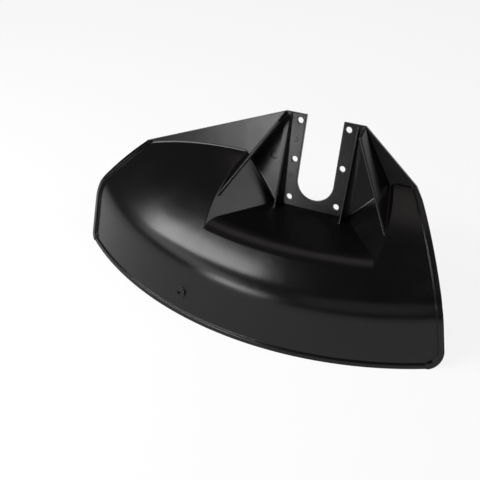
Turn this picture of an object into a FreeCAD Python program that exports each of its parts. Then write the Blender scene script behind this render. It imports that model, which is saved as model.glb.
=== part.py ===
import FreeCAD
import Part
import math
import os
import Sketcher

# Blade guard for a shaft-driven trimmer, one moulding, millimetres.
# The origin is the middle of the centre hole row, on the plate face that looks at the operator.
# Z is up from the rim plane, X is to the operator's right, Y points away from the operator.

doc = FreeCAD.newDocument("BladeGuard")
sheet = doc.addObject("Spreadsheet::Sheet", "Dims")


class Dim:
    # A sheet value, or a sum made from sheet values, with the formula that binds it.
    def __init__(self, text, value):
        self.text = text
        self.value = value

    def joined(self, sign, other, value):
        return Dim("(%s %s %s)" % (self.text, sign, asDim(other).text), value)

    def __add__(self, other):
        return self.joined("+", other, self.value + asDim(other).value)

    def __sub__(self, other):
        return self.joined("-", other, self.value - asDim(other).value)

    def __mul__(self, other):
        return self.joined("*", other, self.value * asDim(other).value)

    def __truediv__(self, other):
        return self.joined("/", other, self.value / asDim(other).value)

    def __neg__(self):
        return Dim("(0 - %s)" % self.text, -self.value)


def asDim(item):
    if isinstance(item, Dim):
        return item
    return Dim("(%s)" % item, float(item))


def sine(angle):
    return Dim("sin(%s)" % angle.text, math.sin(math.radians(angle.value)))


def cosine(angle):
    return Dim("cos(%s)" % angle.text, math.cos(math.radians(angle.value)))


def tangent(angle):
    return Dim("tan(%s)" % angle.text, math.tan(math.radians(angle.value)))


rowsUsed = []


def cell(name, value):
    rowsUsed.append(name)
    row = len(rowsUsed)
    sheet.set("A%d" % row, name)
    sheet.set("B%d" % row, str(value))
    sheet.setAlias("B%d" % row, name)
    return Dim("Dims." + name, float(value))


# Shell
wall = cell("wall", 3.0)
rimRadius = cell("rimRadius", 357.0)
axisY = cell("axisY", 210.0)
rimDrop = cell("rimDrop", 120.5)
skirtFlare = cell("skirtFlare", 17.0)
creaseRadius = cell("creaseRadius", 45.0)
deckRadius = cell("deckRadius", 262.0)
deckCentreR = cell("deckCentreR", 166.0)
deckCentreZ = cell("deckCentreZ", -140.7)
innerR = cell("innerR", 150.0)
leftEnd = cell("leftEnd", 44.85)
rightEnd = cell("rightEnd", 28.5)
rightAxisY = cell("rightAxisY", 192.0)
spare = cell("spare", 2.0)
overrun = cell("overrun", 16.0)
leftLean = cell("leftLean", 18.0)
rightLean = cell("rightLean", -4.5)
leanHigh = cell("leanHigh", 58.0)
leftCorner = cell("leftCorner", 10.0)
rightCorner = cell("rightCorner", 16.0)
lipOut = cell("lipOut", 1.8)
lipHigh = cell("lipHigh", 4.5)
beadWide = cell("beadWide", 5.6)
beadProud = cell("beadProud", 2.4)

# Back wall and slotted plate
plateLean = cell("plateLean", 70.9)
plateHalf = cell("plateHalf", 41.0)
plateTop = cell("plateTop", 46.5)
wallThick = cell("wallThick", 4.0)
panelSweep = cell("panelSweep", 6.2)
leftPanelX = cell("leftPanelX", 190.0)
leftPanelV = cell("leftPanelV", -15.0)
rightPanelX = cell("rightPanelX", 99.7)
rightPanelV = cell("rightPanelV", -3.2)
slotHalf = cell("slotHalf", 19.3)
slotV = cell("slotV", -19.5)
holeHalfPitch = cell("holeHalfPitch", 25.0)
holeRowPitch = cell("holeRowPitch", 39.7)
holeRadius = cell("holeRadius", 3.2)

# Pocket in front of the plate
troughTilt = cell("troughTilt", 115.9)
troughRise = cell("troughRise", 35.5)
troughApex = cell("troughApex", -60.7)
floorR = cell("floorR", 200.0)
floorZ = cell("floorZ", 72.6)
floorRise = cell("floorRise", 5.4)
floorRoundR = cell("floorRoundR", 290.0)
floorRound = cell("floorRound", 40.0)
floorFall = cell("floorFall", 30.0)

# Gussets and plate ribs
gussetX = cell("gussetX", -40.8)
gussetZ = cell("gussetZ", 44.1)
gussetY = cell("gussetY", 18.0)
gussetTurn = cell("gussetTurn", 123.2)
gussetCapX = cell("gussetCapX", 2.5)
gussetCapY = cell("gussetCapY", -4.3)
gussetLong = cell("gussetLong", 83.0)
gussetEndY = cell("gussetEndY", -54.4)
gussetThick = cell("gussetThick", 3.0)
gussetThin = cell("gussetThin", 2.4)
ribX = cell("ribX", 33.5)
ribThick = cell("ribThick", 2.4)
ribProud = cell("ribProud", 14.3)
ribFootV = cell("ribFootV", -53.4)

# Rounded corners
coveRound = cell("coveRound", 4.0)
valleyRound = cell("valleyRound", 3.0)
webRound = cell("webRound", 0.9)

# Hole in the skirt
cutterAngle = cell("cutterAngle", -15.9)
cutterZ = cell("cutterZ", 21.4)
cutterRadius = cell("cutterRadius", 2.0)
cutterBoss = cell("cutterBoss", 7.0)
cutterProud = cell("cutterProud", 1.5)
doc.recompute()

xAxis = FreeCAD.Vector(1, 0, 0)
yAxis = FreeCAD.Vector(0, 1, 0)
zAxis = FreeCAD.Vector(0, 0, 1)


def vec(x, y, z=0.0):
    return FreeCAD.Vector(x, y, z)


def newBody(name):
    return doc.addObject("PartDesign::Body", name)


def newSketch(body, name, rotation=None):
    sketch = body.newObject("Sketcher::SketchObject", name)
    if rotation is not None:
        sketch.Placement = FreeCAD.Placement(vec(0, 0), rotation)
    return sketch


def bind(sketch, name, dim, *items):
    # Items are the constraint kind and the geometry it holds.
    index = sketch.addConstraint(Sketcher.Constraint(*items, dim.value))
    sketch.renameConstraint(index, name)
    sketch.setExpression("Constraints." + name, dim.text)


def hold(sketch, geo, point, across=None, up=None):
    tag = "%d_%d" % (geo, point)
    if across is not None:
        bind(sketch, "x" + tag, asDim(across), "DistanceX", -1, 1, geo, point)
    if up is not None:
        bind(sketch, "y" + tag, asDim(up), "DistanceY", -1, 1, geo, point)


def polygon(sketch, *corners):
    first = sketch.GeometryCount
    count = len(corners)
    points = [vec(asDim(across).value, asDim(up).value) for across, up in corners]
    for i in range(count):
        sketch.addGeometry(Part.LineSegment(points[i], points[(i + 1) % count]), False)
    for i in range(count):
        sketch.addConstraint(Sketcher.Constraint("Coincident", first + i, 2, first + (i + 1) % count, 1))
    for i in range(count):
        hold(sketch, first + i, 1, *corners[i])


def pad(body, sketch, name, length, midplane=False, reverse=False):
    feature = body.newObject("PartDesign::Pad", name)
    feature.Profile = sketch
    feature.setExpression("Length", asDim(length).text)
    feature.Midplane = midplane
    feature.Reversed = reverse
    body.Tip = feature
    doc.recompute()
    return feature


def pocketThrough(body, sketch, name):
    feature = body.newObject("PartDesign::Pocket", name)
    feature.Profile = sketch
    feature.Length = 600
    feature.Midplane = True
    body.Tip = feature
    doc.recompute()
    return feature


def turnAboutRim(body, sketch, name, angle):
    feature = body.newObject("PartDesign::Revolution", name)
    feature.Profile = sketch
    feature.ReferenceAxis = (sketch, ["V_Axis"])
    feature.setExpression("Angle", angle.text)
    body.Tip = feature
    doc.recompute()
    return feature


def rimPlacement(body, startAngle, centreY=None):
    # Sketches in this body run outward from the rim axis and up from the rim plane.
    body.setExpression("Placement.Base.y", (centreY or axisY).text)
    body.setExpression("Placement.Base.z", (-rimDrop).text)
    body.Placement.Rotation = FreeCAD.Rotation(zAxis, -startAngle.value - 90)
    body.setExpression("Placement.Rotation.Angle", (-startAngle - 90).text)


upright = FreeCAD.Rotation(xAxis, 90)


def shellProfile(body, inset, foot, lip):
    sketch = newSketch(body, body.Name + "Profile", upright)
    inset = asDim(inset)
    crease = creaseRadius - inset
    deck = deckRadius - inset
    footR = rimRadius - inset / cosine(skirtFlare) - tangent(skirtFlare) * foot
    slope = math.radians(skirtFlare.value)
    # The crease centre is one radius in from the skirt line and touches the deck arc from inside.
    out = vec(math.cos(slope), math.sin(slope))
    along = vec(-math.sin(slope), math.cos(slope))
    footPoint = vec(footR.value, asDim(foot).value)
    deckCentre = vec(deckCentreR.value, deckCentreZ.value)
    base = footPoint - out * crease.value - deckCentre
    reach = deck.value - crease.value
    half = base.dot(along)
    travel = -half + math.sqrt(half * half - base.dot(base) + reach * reach)
    creaseCentre = deckCentre + base + along * travel
    skirtTop = footPoint + along * travel
    lean = creaseCentre - deckCentre
    deckStart = math.atan2(lean.y, lean.x)
    deckEnd = math.acos((innerR.value - deckCentre.x) / deck.value)
    top = deckCentre + vec(math.cos(deckEnd), math.sin(deckEnd)) * deck.value
    corner = vec(innerR.value, asDim(foot).value)
    skirtLow = footPoint
    if lip:
        skirtLow = vec(footPoint.x - lipHigh.value * math.tan(slope), lipHigh.value)
    sketch.addGeometry(Part.LineSegment(skirtLow, skirtTop), False)
    sketch.addGeometry(Part.ArcOfCircle(Part.Circle(creaseCentre, zAxis, crease.value), slope, deckStart), False)
    sketch.addGeometry(Part.ArcOfCircle(Part.Circle(deckCentre, zAxis, deck.value), deckStart, deckEnd), False)
    sketch.addGeometry(Part.LineSegment(top, corner), False)
    sketch.addConstraint(Sketcher.Constraint("Tangent", 0, 2, 1, 1))
    sketch.addConstraint(Sketcher.Constraint("Tangent", 1, 2, 2, 1))
    sketch.addConstraint(Sketcher.Constraint("Coincident", 2, 2, 3, 1))
    sketch.addConstraint(Sketcher.Constraint("Vertical", 3))
    bind(sketch, "crease", crease, "Radius", 1)
    bind(sketch, "deck", deck, "Radius", 2)
    hold(sketch, 2, 3, deckCentreR, deckCentreZ)
    hold(sketch, 3, 2, innerR, foot)
    bind(sketch, "flare", skirtFlare + 90, "Angle", -1, 1, 0, 1)
    if lip:
        lipTop = vec(skirtLow.x + lipOut.value, lipHigh.value - lipOut.value / 2)
        lipFoot = vec(footPoint.x + lipOut.value, 0)
        sketch.addGeometry(Part.LineSegment(corner, lipFoot), False)
        sketch.addGeometry(Part.LineSegment(lipFoot, lipTop), False)
        sketch.addGeometry(Part.LineSegment(lipTop, skirtLow), False)
        sketch.addConstraint(Sketcher.Constraint("Coincident", 3, 2, 4, 1))
        sketch.addConstraint(Sketcher.Constraint("Coincident", 4, 2, 5, 1))
        sketch.addConstraint(Sketcher.Constraint("Coincident", 5, 2, 6, 1))
        sketch.addConstraint(Sketcher.Constraint("Coincident", 6, 2, 0, 1))
        hold(sketch, 0, 1, footR - tangent(skirtFlare) * lipHigh, lipHigh)
        hold(sketch, 4, 2, footR + lipOut, 0)
        hold(sketch, 5, 2, footR - tangent(skirtFlare) * lipHigh + lipOut, lipHigh - lipOut / 2)
        return sketch
    sketch.addGeometry(Part.LineSegment(corner, footPoint), False)
    sketch.addConstraint(Sketcher.Constraint("Coincident", 3, 2, 4, 1))
    sketch.addConstraint(Sketcher.Constraint("Coincident", 4, 2, 0, 1))
    hold(sketch, 0, 1, footR, foot)
    return sketch


def makeDome():
    body = newBody("Dome")
    rimPlacement(body, leftEnd + spare)
    sketch = shellProfile(body, 0, 0, True)
    turnAboutRim(body, sketch, "DomeTurn", leftEnd + rightEnd + spare * 2)
    return body


def makeDomePlus():
    body = newBody("DomePlus")
    rimPlacement(body, leftEnd + spare)
    sketch = shellProfile(body, -beadProud, 0, False)
    turnAboutRim(body, sketch, "DomePlusTurn", leftEnd + rightEnd + spare * 2)
    return body


def makeHollow():
    body = newBody("Hollow")
    rimPlacement(body, leftEnd + overrun)
    sketch = shellProfile(body, wall, -20, False)
    turnAboutRim(body, sketch, "HollowTurn", leftEnd + rightEnd + overrun * 2)
    return body


def makePocketFloor(name, inset):
    # Everything above the pocket floor, which crowns over and runs out into the deck.
    body = newBody(name)
    rimPlacement(body, leftEnd + overrun)
    sketch = newSketch(body, name + "Profile", upright)
    inset = asDim(inset)
    rise = math.radians(floorRise.value)
    fall = math.radians(floorFall.value)
    start = floorZ - inset / cosine(floorRise)
    crown = floorRound - inset
    centreR = floorRoundR + sine(floorRise) * floorRound
    centreZ = floorZ + tangent(floorRise) * (floorRoundR - floorR) - cosine(floorRise) * floorRound
    centre = vec(centreR.value, centreZ.value)
    lineEnd = centre + vec(-math.sin(rise), math.cos(rise)) * crown.value
    arcEnd = centre + vec(math.sin(fall), math.cos(fall)) * crown.value
    farOut = rimRadius + 20
    outEnd = arcEnd + vec(math.cos(fall), -math.sin(fall)) * ((farOut.value - arcEnd.x) / math.cos(fall))
    first = vec(floorR.value, start.value)
    sketch.addGeometry(Part.LineSegment(first, lineEnd), False)
    sketch.addGeometry(
        Part.ArcOfCircle(Part.Circle(centre, zAxis, crown.value), math.pi / 2 - fall, math.pi / 2 + rise), False
    )
    sketch.addGeometry(Part.LineSegment(arcEnd, outEnd), False)
    sketch.addGeometry(Part.LineSegment(outEnd, vec(farOut.value, 260)), False)
    sketch.addGeometry(Part.LineSegment(vec(farOut.value, 260), vec(floorR.value, 260)), False)
    sketch.addGeometry(Part.LineSegment(vec(floorR.value, 260), first), False)
    sketch.addConstraint(Sketcher.Constraint("Tangent", 0, 2, 1, 2))
    sketch.addConstraint(Sketcher.Constraint("Tangent", 1, 1, 2, 1))
    sketch.addConstraint(Sketcher.Constraint("Coincident", 2, 2, 3, 1))
    sketch.addConstraint(Sketcher.Constraint("Coincident", 3, 2, 4, 1))
    sketch.addConstraint(Sketcher.Constraint("Coincident", 4, 2, 5, 1))
    sketch.addConstraint(Sketcher.Constraint("Coincident", 5, 2, 0, 1))
    sketch.addConstraint(Sketcher.Constraint("Vertical", 3))
    sketch.addConstraint(Sketcher.Constraint("Horizontal", 4))
    hold(sketch, 0, 1, floorR, start)
    hold(sketch, 1, 3, centreR, centreZ)
    bind(sketch, "crown", crown, "Radius", 1)
    bind(sketch, "fall", -floorFall, "Angle", -1, 1, 2, 1)
    hold(sketch, 4, 1, farOut, 260)
    hold(sketch, 5, 1, floorR)
    turnAboutRim(body, sketch, name + "Turn", leftEnd + rightEnd + overrun * 2)
    return body


def makeTrough(name, inset):
    # Two planes that meet in a V and lean down towards the operator.
    body = newBody(name)
    body.Placement.Rotation = FreeCAD.Rotation(xAxis, troughTilt.value)
    body.setExpression("Placement.Rotation.Angle", troughTilt.text)
    sketch = newSketch(body, name + "Section")
    apex = troughApex - asDim(inset) / cosine(troughRise)
    side = asDim(150)
    shoulder = apex + tangent(troughRise) * side
    top = asDim(220)
    polygon(sketch, (0, apex), (side, shoulder), (side, top), (-side, top), (-side, shoulder))
    pad(body, sketch, name + "Run", 700, midplane=True)
    return body


def plateFrame(body):
    # In this body X is across, Y runs up the plate and Z stands out of its face.
    body.Placement.Rotation = FreeCAD.Rotation(xAxis, plateLean.value)
    body.setExpression("Placement.Rotation.Angle", plateLean.text)


def makeBackWall():
    body = newBody("BackWall")
    plateFrame(body)
    plan = newSketch(body, "WallPlan", upright)
    leftX = leftPanelX + 40
    rightX = rightPanelX + 40
    sweep = tangent(panelSweep)
    leftN = -sweep * (leftX - plateHalf)
    rightN = -sweep * (rightX - plateHalf)
    polygon(
        plan,
        (-leftX, leftN),
        (-plateHalf, 0),
        (plateHalf, 0),
        (rightX, rightN),
        (rightX, rightN - wallThick),
        (plateHalf, -wallThick),
        (-plateHalf, -wallThick),
        (-leftX, leftN - wallThick),
    )
    pad(body, plan, "WallRun", 220, midplane=True)
    slot = newSketch(body, "SlotSketch")
    low = vec(-slotHalf.value, slotV.value)
    high = vec(slotHalf.value, 80)
    slot.addGeometry(Part.LineSegment(vec(low.x, high.y), low), False)
    slot.addGeometry(
        Part.ArcOfCircle(Part.Circle(vec(0, slotV.value), zAxis, slotHalf.value), math.pi, 2 * math.pi), False
    )
    slot.addGeometry(Part.LineSegment(vec(high.x, low.y), high), False)
    slot.addGeometry(Part.LineSegment(high, vec(low.x, high.y)), False)
    slot.addConstraint(Sketcher.Constraint("Tangent", 0, 2, 1, 1))
    slot.addConstraint(Sketcher.Constraint("Tangent", 1, 2, 2, 1))
    slot.addConstraint(Sketcher.Constraint("Coincident", 2, 2, 3, 1))
    slot.addConstraint(Sketcher.Constraint("Coincident", 3, 2, 0, 1))
    slot.addConstraint(Sketcher.Constraint("Vertical", 0))
    slot.addConstraint(Sketcher.Constraint("Horizontal", 3))
    bind(slot, "slotRadius", slotHalf, "Radius", 1)
    hold(slot, 1, 3, 0, slotV)
    hold(slot, 3, 1, None, 80)
    pocketThrough(body, slot, "Slot")
    return body


def makeAbove():
    # Everything above the top edge of the back wall, which falls straight to both wings.
    body = newBody("Above")
    plateFrame(body)
    outline = newSketch(body, "AboveOutline")
    leftX = leftPanelX + 50
    rightX = rightPanelX + 50
    leftFall = (plateTop - leftPanelV) / (leftPanelX - plateHalf)
    rightFall = (plateTop - rightPanelV) / (rightPanelX - plateHalf)
    polygon(
        outline,
        (-leftX, 130),
        (rightX, 130),
        (rightX, plateTop - rightFall * (rightX - plateHalf)),
        (plateHalf, plateTop),
        (-plateHalf, plateTop),
        (-leftX, plateTop - leftFall * (leftX - plateHalf)),
    )
    pad(body, outline, "AboveRun", 300, midplane=True)
    return body


def makeBehind():
    # Everything behind the back wall.
    body = newBody("Behind")
    plateFrame(body)
    plan = newSketch(body, "BehindPlan", upright)
    leftX = leftPanelX + 60
    rightX = rightPanelX + 80
    sweep = tangent(panelSweep)
    back = asDim(-320)
    polygon(
        plan,
        (-leftX, -sweep * (leftX - plateHalf) - wallThick),
        (-plateHalf, -wallThick),
        (plateHalf, -wallThick),
        (rightX, -sweep * (rightX - plateHalf) - wallThick),
        (rightX, back),
        (-leftX, back),
    )
    pad(body, plan, "BehindRun", 700, midplane=True)
    return body


def makeHoles():
    body = newBody("PlateHoles")
    plateFrame(body)
    sketch = newSketch(body, "HoleSketch")
    for column in (-1, 1):
        for row in (-1, 0, 1):
            geo = sketch.GeometryCount
            across = holeHalfPitch * column
            up = holeRowPitch * row
            sketch.addGeometry(Part.Circle(vec(across.value, up.value), zAxis, holeRadius.value), False)
            hold(sketch, geo, 3, across, up)
            bind(sketch, "hole%d" % geo, holeRadius, "Radius", geo)
    pad(body, sketch, "HoleRun", 60, midplane=True)
    return body


def makePlateRib():
    body = newBody("PlateRib")
    plateFrame(body)
    sketch = newSketch(body, "RibSide", FreeCAD.Rotation(vec(1, 1, 1), 120))
    sketch.setExpression("Placement.Base.x", ribX.text)
    foot = ribFootV - 14
    polygon(sketch, (plateTop, 0), (plateTop, -1), (foot, -1), (foot, ribProud), (ribFootV, ribProud))
    pad(body, sketch, "RibRun", ribThick)
    return body


def makeGusset():
    body = newBody("Gusset")
    body.Placement = FreeCAD.Placement(vec(0, 0), FreeCAD.Rotation(yAxis, gussetTurn.value))
    body.setExpression("Placement.Base.x", gussetX.text)
    body.setExpression("Placement.Base.z", gussetZ.text)
    body.setExpression("Placement.Rotation.Angle", gussetTurn.text)
    sketch = newSketch(body, "GussetSide")
    fall = (gussetCapY - gussetEndY) / (gussetLong - gussetCapX)
    past = asDim(6)
    polygon(
        sketch,
        (past / 12, gussetY),
        (gussetCapX, gussetCapY),
        (gussetLong + past, gussetEndY - fall * past),
        (gussetLong + past * 2, gussetEndY + past),
        (gussetLong - past * 2, gussetY),
    )
    pad(body, sketch, "GussetRun", gussetThick * 2)
    taper = newSketch(body, "GussetTaper", upright)
    slim = (gussetThick - gussetThin) / gussetLong
    run = gussetLong + past * 4
    polygon(
        taper,
        (-past, gussetThick + slim * past),
        (run, gussetThick - slim * run),
        (run, gussetThick * 3),
        (-past, gussetThick * 3),
    )
    pocketThrough(body, taper, "GussetSlim")
    return body


def makeEndCut(name, startAngle, centreY, radius, lean, side, grow=0):
    # Trims one end of the guard: upright past the deck, leaning along the skirt, rounded at the rim.
    # Grown inwards, the same outline gives the band that the end bead stands on.
    body = newBody(name)
    rimPlacement(body, startAngle, centreY)
    sketch = newSketch(body, name + "Profile", FreeCAD.Rotation(vec(1, 1, 1), 120))
    grow = asDim(grow)
    arc = radius - grow
    slope = math.radians(lean.value)
    centreU = grow + tangent(lean) * leanHigh + (arc - sine(lean) * radius) / cosine(lean)
    touch = (centreU - cosine(lean) * arc, radius - sine(lean) * arc)
    low = asDim(-2)
    high = asDim(260)
    outer = asDim(-160)
    turn = (math.pi + slope, 1.5 * math.pi) if side > 0 else (1.5 * math.pi, 2 * math.pi - slope)
    centre = vec(centreU.value * side, radius.value)
    sketch.addGeometry(Part.ArcOfCircle(Part.Circle(centre, zAxis, arc.value), *turn), False)
    flat = 1 if side < 0 else 2
    points = [
        (centreU, grow),
        (centreU, low),
        (outer, low),
        (outer, high),
        (grow, high),
        (grow, leanHigh),
        touch,
    ]
    points = [(across * side, up) for across, up in points]
    last = len(points) - 1
    for i in range(last):
        start = vec(points[i][0].value, points[i][1].value)
        end = vec(points[i + 1][0].value, points[i + 1][1].value)
        sketch.addGeometry(Part.LineSegment(start, end), False)
    sketch.addConstraint(Sketcher.Constraint("Coincident", 0, flat, 1, 1))
    for i in range(1, last):
        sketch.addConstraint(Sketcher.Constraint("Coincident", i, 2, i + 1, 1))
    sketch.addConstraint(Sketcher.Constraint("Coincident", last, 2, 0, 3 - flat))
    bind(sketch, "round", arc, "Radius", 0)
    for i in range(last):
        hold(sketch, i + 1, 1, *points[i])
    hold(sketch, last, 2, *points[last])
    pad(body, sketch, name + "Run", 460)
    return body


def skirtNormal():
    turn = math.radians(cutterAngle.value)
    lean = math.radians(skirtFlare.value)
    return vec(math.sin(turn) * math.cos(lean), -math.cos(turn) * math.cos(lean), math.sin(lean))


def skirtPoint():
    turn = math.radians(cutterAngle.value)
    radius = rimRadius.value - cutterZ.value * math.tan(math.radians(skirtFlare.value))
    return vec(radius * math.sin(turn), axisY.value - radius * math.cos(turn), cutterZ.value - rimDrop.value)


def makeSkirtPin(name, radius, inward, outward):
    pin = doc.addObject("Part::Cylinder", name)
    pin.setExpression("Radius", radius.text)
    pin.Height = inward + outward
    normal = skirtNormal()
    pin.Placement = FreeCAD.Placement(skirtPoint() - normal * inward, FreeCAD.Rotation(zAxis, normal))
    return pin


def cut(name, base, tool):
    item = doc.addObject("Part::Cut", name)
    item.Base = base
    item.Tool = tool
    doc.recompute()
    return item


def common(name, *shapes):
    item = doc.addObject("Part::MultiCommon", name)
    item.Shapes = list(shapes)
    doc.recompute()
    return item


def fuse(name, *shapes):
    item = doc.addObject("Part::MultiFuse", name)
    item.Shapes = list(shapes)
    doc.recompute()
    return item


def mirrored(name, source):
    item = doc.addObject("Part::Mirroring", name)
    item.Source = source
    item.Normal = xAxis
    doc.recompute()
    return item


def meeting(shape, surface, test):
    # Numbers of the edges where a flat face meets a face of the given kind, if the test takes them.
    numbers = []
    for number, edge in enumerate(shape.Edges, 1):
        faces = shape.ancestorsOfType(edge, Part.Face)
        pairs = (faces, faces[::-1]) if len(faces) == 2 else ()
        for flat, other in pairs:
            if not isinstance(flat.Surface, Part.Plane) or not isinstance(other.Surface, surface):
                continue
            if test(edge, flat.normalAt(0, 0), other) and number not in numbers:
                numbers.append(number)
    return numbers


def rounded(name, base, *groups):
    item = doc.addObject("Part::Fillet", name)
    item.Base = base
    item.Edges = [(number, size.value, size.value) for size, numbers in groups for number in numbers]
    doc.recompute()
    return item


def facesOperator(normal):
    return normal.y < -0.9


def facesSlot(normal):
    return abs(normal.x) > 0.5 and -0.5 < normal.y < -0.2 and normal.z > 0.6


def panelMeetsDeck(edge, normal, other):
    return facesOperator(normal)


def panelMeetsTrough(edge, normal, other):
    return facesOperator(normal) and facesSlot(other.normalAt(0, 0)) and edge.Length > slotHalf.value


def standsOut(edge, normal, other):
    middle = edge.CenterOfMass
    lean = math.radians(plateLean.value)
    ahead = middle.z * math.cos(lean) - middle.y * math.sin(lean)
    return edge.Length > plateTop.value * 2 - 4 and ahead > 4


dome = makeDome()
hollow = makeHollow()
pocket = common("Pocket", makeTrough("Trough", 0), makePocketFloor("PocketFloor", 0))
pocketSkin = common("PocketSkin", makeTrough("TroughSkin", wall), makePocketFloor("FloorSkin", wall))
inside = cut("Inside", hollow, pocketSkin)
backWall = makeBackWall()
gusset = makeGusset()
gussetRight = mirrored("GussetRight", gusset)
plateRib = makePlateRib()
plateRibLeft = mirrored("PlateRibLeft", plateRib)
boss = makeSkirtPin("CutterBoss", cutterBoss, 1.5, cutterProud.value)
opened = cut("OpenDome", dome, pocket)
strips = fuse(
    "Strips",
    makeEndCut("LeftStrip", leftEnd, axisY, leftCorner, leftLean, 1, beadWide),
    makeEndCut("RightStrip", -rightEnd, rightAxisY, rightCorner, rightLean, -1, beadWide),
)
beads = common("EndBeads", makeDomePlus(), strips)
walled = fuse("WalledDome", opened, backWall)
coved = rounded(
    "CovedDome",
    walled,
    (coveRound, meeting(walled.Shape, Part.SurfaceOfRevolution, panelMeetsDeck)),
)
solid = fuse("Solid", coved, beads, gusset, gussetRight, plateRib, plateRibLeft, boss)
hollowed = cut("Hollowed", solid, inside)
away = fuse(
    "Away",
    makeAbove(),
    makeBehind(),
    makeEndCut("LeftEndCut", leftEnd, axisY, leftCorner, leftLean, 1),
    makeEndCut("RightEndCut", -rightEnd, rightAxisY, rightCorner, rightLean, -1),
    makeHoles(),
    makeSkirtPin("CutterHole", cutterRadius, 20, 20),
)
trimmed = cut("Trimmed", hollowed, away)
trimmed.Refine = True
doc.recompute()
guard = rounded(
    "BladeGuard",
    trimmed,
    (valleyRound, meeting(trimmed.Shape, Part.Plane, panelMeetsTrough)),
    (webRound, meeting(trimmed.Shape, Part.Plane, standsOut)),
)
guard.Label = "blade_guard"
doc.recompute()

for item in doc.Objects:
    if "Invalid" in item.State or "Error" in item.State:
        raise RuntimeError("not built: " + item.Name)
if not guard.Shape.isValid() or len(guard.Shape.Solids) != 1:
    raise RuntimeError("guard is not one sound solid: %d" % len(guard.Shape.Solids))

os.makedirs("parts", exist_ok=True)
guard.Shape.exportStep("parts/blade_guard.step")
print("blade_guard", guard.Shape.BoundBox, round(guard.Shape.Volume / 1000, 1), "ml")
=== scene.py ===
import math

import bpy
from mathutils import Matrix, Vector


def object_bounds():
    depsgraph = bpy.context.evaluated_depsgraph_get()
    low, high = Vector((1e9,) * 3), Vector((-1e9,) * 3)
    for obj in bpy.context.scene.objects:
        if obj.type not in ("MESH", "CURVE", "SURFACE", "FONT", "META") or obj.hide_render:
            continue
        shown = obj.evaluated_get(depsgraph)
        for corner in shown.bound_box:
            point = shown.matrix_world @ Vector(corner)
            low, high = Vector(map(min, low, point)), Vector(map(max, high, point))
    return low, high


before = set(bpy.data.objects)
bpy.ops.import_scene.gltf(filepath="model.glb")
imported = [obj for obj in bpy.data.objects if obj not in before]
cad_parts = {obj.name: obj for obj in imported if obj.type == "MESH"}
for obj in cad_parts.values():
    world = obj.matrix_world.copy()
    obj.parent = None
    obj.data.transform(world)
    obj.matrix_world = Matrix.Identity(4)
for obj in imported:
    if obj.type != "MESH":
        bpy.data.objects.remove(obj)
cadLow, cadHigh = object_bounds()
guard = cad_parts["blade_guard"]
print("frame loaded:", ", ".join(sorted(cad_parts)))


# values are the node's own settings or its inputs
def addNode(tree, kind, place, **values):
    node = tree.nodes.new(kind)
    node.location = place
    for name, value in values.items():
        if hasattr(node, name):
            setattr(node, name, value)
        else:
            node.inputs[name].default_value = value
    return node


def addNoise(tree, place, coords, scale, detail, roughness):
    noise = addNode(tree, "ShaderNodeTexNoise", place, Scale=scale, Detail=detail, Roughness=roughness)
    tree.links.new(coords, noise.inputs["Vector"])
    return noise.outputs["Fac"]


def addRange(tree, place, toMin, toMax, **values):
    change = addNode(tree, "ShaderNodeMapRange", place, **values)
    change.inputs["To Min"].default_value = toMin
    change.inputs["To Max"].default_value = toMax
    return change


def addBump(tree, place, height, normal, strength, distance):
    bump = addNode(tree, "ShaderNodeBump", place, Strength=strength, Distance=distance)
    tree.links.new(height, bump.inputs["Height"])
    tree.links.new(normal, bump.inputs["Normal"])
    return bump.outputs["Normal"]


def newMaterial(name):
    material = bpy.data.materials.new(name)
    material.use_nodes = True
    material.node_tree.nodes.clear()
    return material, material.node_tree


# black moulded plastic of the guard, sizes in metres
plastic = {
    "coolBlack": (0.0030, 0.0030, 0.0036, 1.0),
    "warmBlack": (0.0046, 0.0040, 0.0038, 1.0),
    "driftScale": 9.0,        # spots of cool and warm black in a metre
    "ior": 1.5,
    "shine": 0.29,            # under the usual 0.5, keeps the black dark beside the white table
    "smoothest": 0.20,
    "dullest": 0.26,
    "glossScale": 28.0,       # spots of more and less gloss in a metre
    "glossNoise": (0.3, 0.7),      # noise values taken as smoothest and dullest
    "grainSize": 0.0009,      # across one grain of the mould texture
    "grainHeight": 0.0002,
    "grainStrength": 0.05,
    "rippleSize": 0.035,      # slow waviness of the moulded skin
    "rippleHeight": 0.004,
    "rippleStrength": 0.05,
    "edgeRound": 0.0012,
    "edgeSamples": 8,
    "pins": (                 # ejector pin marks beside the slot, place and radius of each
        ((-0.0263, 0.0064, 0.0187), 0.0024),
        ((-0.0272, -0.0054, -0.0161), 0.0024),
        ((-0.0466, 0.0006, -0.0004), 0.0042),
    ),
    "pinFlat": 0.7,           # share of a mark's radius that is level
    "pinHeight": 0.0003,
    "pinStrength": 0.35,
}


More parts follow.
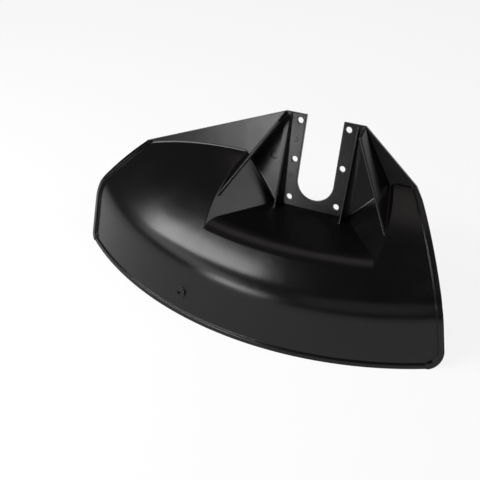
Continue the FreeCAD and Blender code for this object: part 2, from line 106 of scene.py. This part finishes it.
def pinMarkGroup():
    group = bpy.data.node_groups.new("pinMark", "ShaderNodeTree")
    sockets = group.interface
    sockets.new_socket("Place", in_out="INPUT", socket_type="NodeSocketVector")
    sockets.new_socket("Centre", in_out="INPUT", socket_type="NodeSocketVector")
    sockets.new_socket("Size", in_out="INPUT", socket_type="NodeSocketFloat")
    sockets.new_socket("Height", in_out="OUTPUT", socket_type="NodeSocketFloat")
    link = group.links.new
    entry = addNode(group, "NodeGroupInput", (-600, 0))
    gap = addNode(group, "ShaderNodeVectorMath", (-400, 0), operation="DISTANCE")
    inner = addNode(group, "ShaderNodeMath", (-400, -200), operation="MULTIPLY")
    inner.inputs[1].default_value = plastic["pinFlat"]
    disc = addRange(group, (-200, 0), toMin=1.0, toMax=0.0, interpolation_type="SMOOTHSTEP")
    leave = addNode(group, "NodeGroupOutput", (0, 0))
    link(entry.outputs["Place"], gap.inputs[0])
    link(entry.outputs["Centre"], gap.inputs[1])
    link(entry.outputs["Size"], inner.inputs[0])
    link(gap.outputs["Value"], disc.inputs["Value"])
    link(inner.outputs[0], disc.inputs["From Min"])
    link(entry.outputs["Size"], disc.inputs["From Max"])
    link(disc.outputs["Result"], leave.inputs["Height"])
    return group


# height of all the pin marks together
def pinMarks(tree, coords):
    markGroup = pinMarkGroup()
    height = None
    for step, (centre, size) in enumerate(plastic["pins"]):
        row = -1000 - 200 * step
        mark = addNode(tree, "ShaderNodeGroup", (-900, row), node_tree=markGroup, Centre=centre, Size=size)
        tree.links.new(coords, mark.inputs["Place"])
        if height is None:
            height = mark.outputs["Height"]
        else:
            total = addNode(tree, "ShaderNodeMath", (-650, row), operation="ADD")
            tree.links.new(height, total.inputs[0])
            tree.links.new(mark.outputs["Height"], total.inputs[1])
            height = total.outputs[0]
    return height


def plasticMaterial():
    material, tree = newMaterial("blackPlastic")
    link = tree.links.new
    coords = addNode(tree, "ShaderNodeTexCoord", (-1500, 0)).outputs["Object"]

    # slow drift between a cool and a warm black
    drift = addNoise(tree, (-1200, 350), coords, plastic["driftScale"], detail=3.0, roughness=0.55)
    tint = addNode(tree, "ShaderNodeMixRGB", (-600, 350),
                   Color1=plastic["coolBlack"], Color2=plastic["warmBlack"])
    link(drift, tint.inputs["Fac"])

    # gloss changes a little from place to place
    spots = addNoise(tree, (-1200, 50), coords, plastic["glossScale"], detail=6.0, roughness=0.6)
    gloss = addRange(tree, (-600, 50), plastic["smoothest"], plastic["dullest"])
    gloss.inputs["From Min"].default_value, gloss.inputs["From Max"].default_value = plastic["glossNoise"]
    link(spots, gloss.inputs["Value"])

    # softened edges, then a slow ripple, fine mould grain and the pin marks
    edge = addNode(tree, "ShaderNodeBevel", (-900, -750),
                   samples=plastic["edgeSamples"], Radius=plastic["edgeRound"])
    ripple = addNoise(tree, (-1200, -550), coords, 1.0 / plastic["rippleSize"], detail=2.0, roughness=0.4)
    grain = addNoise(tree, (-1200, -250), coords, 1.0 / plastic["grainSize"], detail=3.0, roughness=0.5)
    marks = pinMarks(tree, coords)
    normal = addBump(tree, (-600, -550), ripple, edge.outputs["Normal"],
                     plastic["rippleStrength"], plastic["rippleHeight"])
    normal = addBump(tree, (-350, -300), grain, normal, plastic["grainStrength"], plastic["grainHeight"])
    normal = addBump(tree, (-150, -500), marks, normal, plastic["pinStrength"], plastic["pinHeight"])

    skin = addNode(tree, "ShaderNodeBsdfPrincipled", (0, 0), IOR=plastic["ior"])
    skin.inputs["Specular IOR Level"].default_value = plastic["shine"]
    link(tint.outputs["Color"], skin.inputs["Base Color"])
    link(gloss.outputs["Result"], skin.inputs["Roughness"])
    link(normal, skin.inputs["Normal"])
    output = addNode(tree, "ShaderNodeOutputMaterial", (350, 0))
    link(skin.outputs["BSDF"], output.inputs["Surface"])
    return material


guard.data.materials.clear()
guard.data.materials.append(plasticMaterial())
print("plastic on:", guard.name)


# 1 for camera, glossy and transmission rays, 0 for the light that falls on things
def seenRays(tree, x, y):
    rays = addNode(tree, "ShaderNodeLightPath", (x, y))
    mirrored = addNode(tree, "ShaderNodeMath", (x + 200, y), operation="MAXIMUM")
    seen = addNode(tree, "ShaderNodeMath", (x + 400, y), operation="MAXIMUM")
    tree.links.new(rays.outputs["Is Glossy Ray"], mirrored.inputs[0])
    tree.links.new(rays.outputs["Is Transmission Ray"], mirrored.inputs[1])
    tree.links.new(rays.outputs["Is Camera Ray"], seen.inputs[0])
    tree.links.new(mirrored.outputs[0], seen.inputs[1])
    return seen.outputs[0]


# share says how much of the second shader covers the first
def mixedSurface(tree, outputKind, share, first, second):
    mix = addNode(tree, "ShaderNodeMixShader", (0, 0))
    output = addNode(tree, outputKind, (200, 0))
    tree.links.new(share, mix.inputs[0])
    tree.links.new(first.outputs[0], mix.inputs[1])
    tree.links.new(second.outputs[0], mix.inputs[2])
    tree.links.new(mix.outputs[0], output.inputs["Surface"])


# white table that runs out of sight, sizes in metres
table = {
    "halfWidth": 30.0,
    "gap": 0.0002,            # kept clear under the rim
    "paint": (0.93, 0.93, 0.93, 1.0),
    "whiteShare": 0.86,       # plain white in what camera, glossy and transmission rays see
}


def tableMaterial():
    material, tree = newMaterial("whiteTable")
    share = addNode(tree, "ShaderNodeMath", (-300, 200), operation="MULTIPLY")
    share.inputs[1].default_value = table["whiteShare"]
    tree.links.new(seenRays(tree, -1000, 200), share.inputs[0])
    paint = addNode(tree, "ShaderNodeBsdfDiffuse", (-300, 0), Color=table["paint"])
    white = addNode(tree, "ShaderNodeEmission", (-300, -150), Strength=1.0)
    mixedSurface(tree, "ShaderNodeOutputMaterial", share.outputs[0], paint, white)
    return material


def makeTable():
    half = table["halfWidth"]
    mesh = bpy.data.meshes.new("table")
    corners = [(-half, -half, 0), (half, -half, 0), (half, half, 0), (-half, half, 0)]
    mesh.from_pydata(corners, [], [(0, 1, 2, 3)])
    mesh.materials.append(tableMaterial())
    top = bpy.data.objects.new("table", mesh)
    top.location.z = cadLow.z - table["gap"]
    bpy.context.scene.collection.objects.link(top)


makeTable()
print("table under the rim at", round(cadLow.z, 4))


# direction out to a lamp or the camera, and the turn that looks back along it, angles in degrees
# turn goes from the front to the right, rise from level to straight up
def lookBack(turn, rise, roll):
    turn, rise = math.radians(turn), math.radians(rise)
    out = Vector((math.sin(turn) * math.cos(rise), -math.cos(turn) * math.cos(rise), math.sin(rise)))
    level = out.to_track_quat("Z", "Y").to_matrix().to_4x4()
    return out, level @ Matrix.Rotation(math.radians(roll), 4, "Z")


# big tilted softbox and a low strip at the left, weak cards at the left and in front,
# a box at the right, and a faint warm glow from above the back
# angles in degrees, lengths in metres, glow is the brightness of a lamp's face
lights = {
    "aim": (-0.03, -0.06, -0.05),
    "plain": (1.0, 1.0, 1.0),
    "warm": (1.0, 0.86, 0.84),
    "softbox": {"turn": -60, "rise": 42.5, "roll": 34, "away": 1.0,
                "wide": 0.80, "high": 0.25, "glow": 14.0},
    "strip": {"turn": -27.5, "rise": 9.5, "roll": 0, "away": 0.95,
              "wide": 0.38, "high": 0.16, "glow": 11.0},
    "sideCard": {"turn": -52, "rise": 20, "roll": 0, "away": 1.0,
                 "wide": 0.85, "high": 0.26, "glow": 2.4},
    "frontCard": {"turn": 24, "rise": 25, "roll": 0, "away": 1.1,
                  "wide": 1.0, "high": 0.44, "glow": 0.45},
    "rightBox": {"turn": 98, "rise": 46, "roll": 0, "away": 1.3,
                 "wide": 0.75, "high": 0.4, "glow": 3.0},
    "backGlow": {"turn": 175, "rise": 68, "roll": 0, "away": 1.5,
                 "wide": 1.8, "high": 0.5, "glow": 0.7},
}


def makeLight(name, colour):
    values = lights[name]
    out, turned = lookBack(values["turn"], values["rise"], values["roll"])
    data = bpy.data.lights.new(name, "AREA")
    data.shape = "RECTANGLE"
    data.size = values["wide"]
    data.size_y = values["high"]
    data.energy = values["glow"] * math.pi * values["wide"] * values["high"]
    data.color = lights[colour]
    lamp = bpy.data.objects.new(name, data)
    lamp.location = Vector(lights["aim"]) + out * values["away"]
    lamp.rotation_euler = turned.to_euler()
    bpy.context.scene.collection.objects.link(lamp)


for lampName in ("softbox", "strip", "sideCard", "frontCard", "rightBox"):
    makeLight(lampName, "plain")
makeLight("backGlow", "warm")
print("lights set")


# dim room that is plain white near the horizon, as a backdrop is
room = {
    "colour": (0.88, 0.92, 1.0, 1.0),
    "level": 0.06,
    "white": (1.0, 1.0, 1.0, 1.0),
    "whiteBelow": 0.02,       # how steeply a line of sight climbs, 0 level and 1 straight up
    "dimAbove": 0.09,
}


def makeRoom():
    world = bpy.data.worlds.new("room")
    world.use_nodes = True
    tree = world.node_tree
    tree.nodes.clear()
    toward = addNode(tree, "ShaderNodeTexCoord", (-1200, 400))
    upward = addNode(tree, "ShaderNodeSeparateXYZ", (-1000, 400))
    backdrop = addRange(tree, (-800, 400), toMin=1.0, toMax=0.0, interpolation_type="SMOOTHSTEP")
    backdrop.inputs["From Min"].default_value = room["whiteBelow"]
    backdrop.inputs["From Max"].default_value = room["dimAbove"]
    share = addNode(tree, "ShaderNodeMath", (-300, 300), operation="MULTIPLY")
    dim = addNode(tree, "ShaderNodeBackground", (-300, 0), Color=room["colour"], Strength=room["level"])
    white = addNode(tree, "ShaderNodeBackground", (-300, -150), Color=room["white"], Strength=1.0)
    tree.links.new(toward.outputs["Generated"], upward.inputs[0])
    tree.links.new(upward.outputs["Z"], backdrop.inputs["Value"])
    tree.links.new(backdrop.outputs["Result"], share.inputs[0])
    tree.links.new(seenRays(tree, -1000, 100), share.inputs[1])
    mixedSurface(tree, "ShaderNodeOutputWorld", share.outputs[0], dim, white)
    bpy.context.scene.world = world


makeRoom()
print("room set")


# camera at the angle of the photograph
camera = {
    "place": (0.2180, -0.71025, 0.4660),
    "turn": 23.1,
    "rise": 37.2,
    "roll": -0.17,
    "lens": 65.43,
    "sensor": 36.0,
}


def makeCamera():
    data = bpy.data.cameras.new("camera")
    data.lens = camera["lens"]
    data.sensor_width = camera["sensor"]
    eye = bpy.data.objects.new("camera", data)
    turned = lookBack(camera["turn"], camera["rise"], camera["roll"])[1]
    eye.matrix_world = Matrix.Translation(camera["place"]) @ turned
    bpy.context.scene.collection.objects.link(eye)
    bpy.context.scene.camera = eye


makeCamera()
bpy.context.scene.view_settings.view_transform = "Standard"
print("camera set")
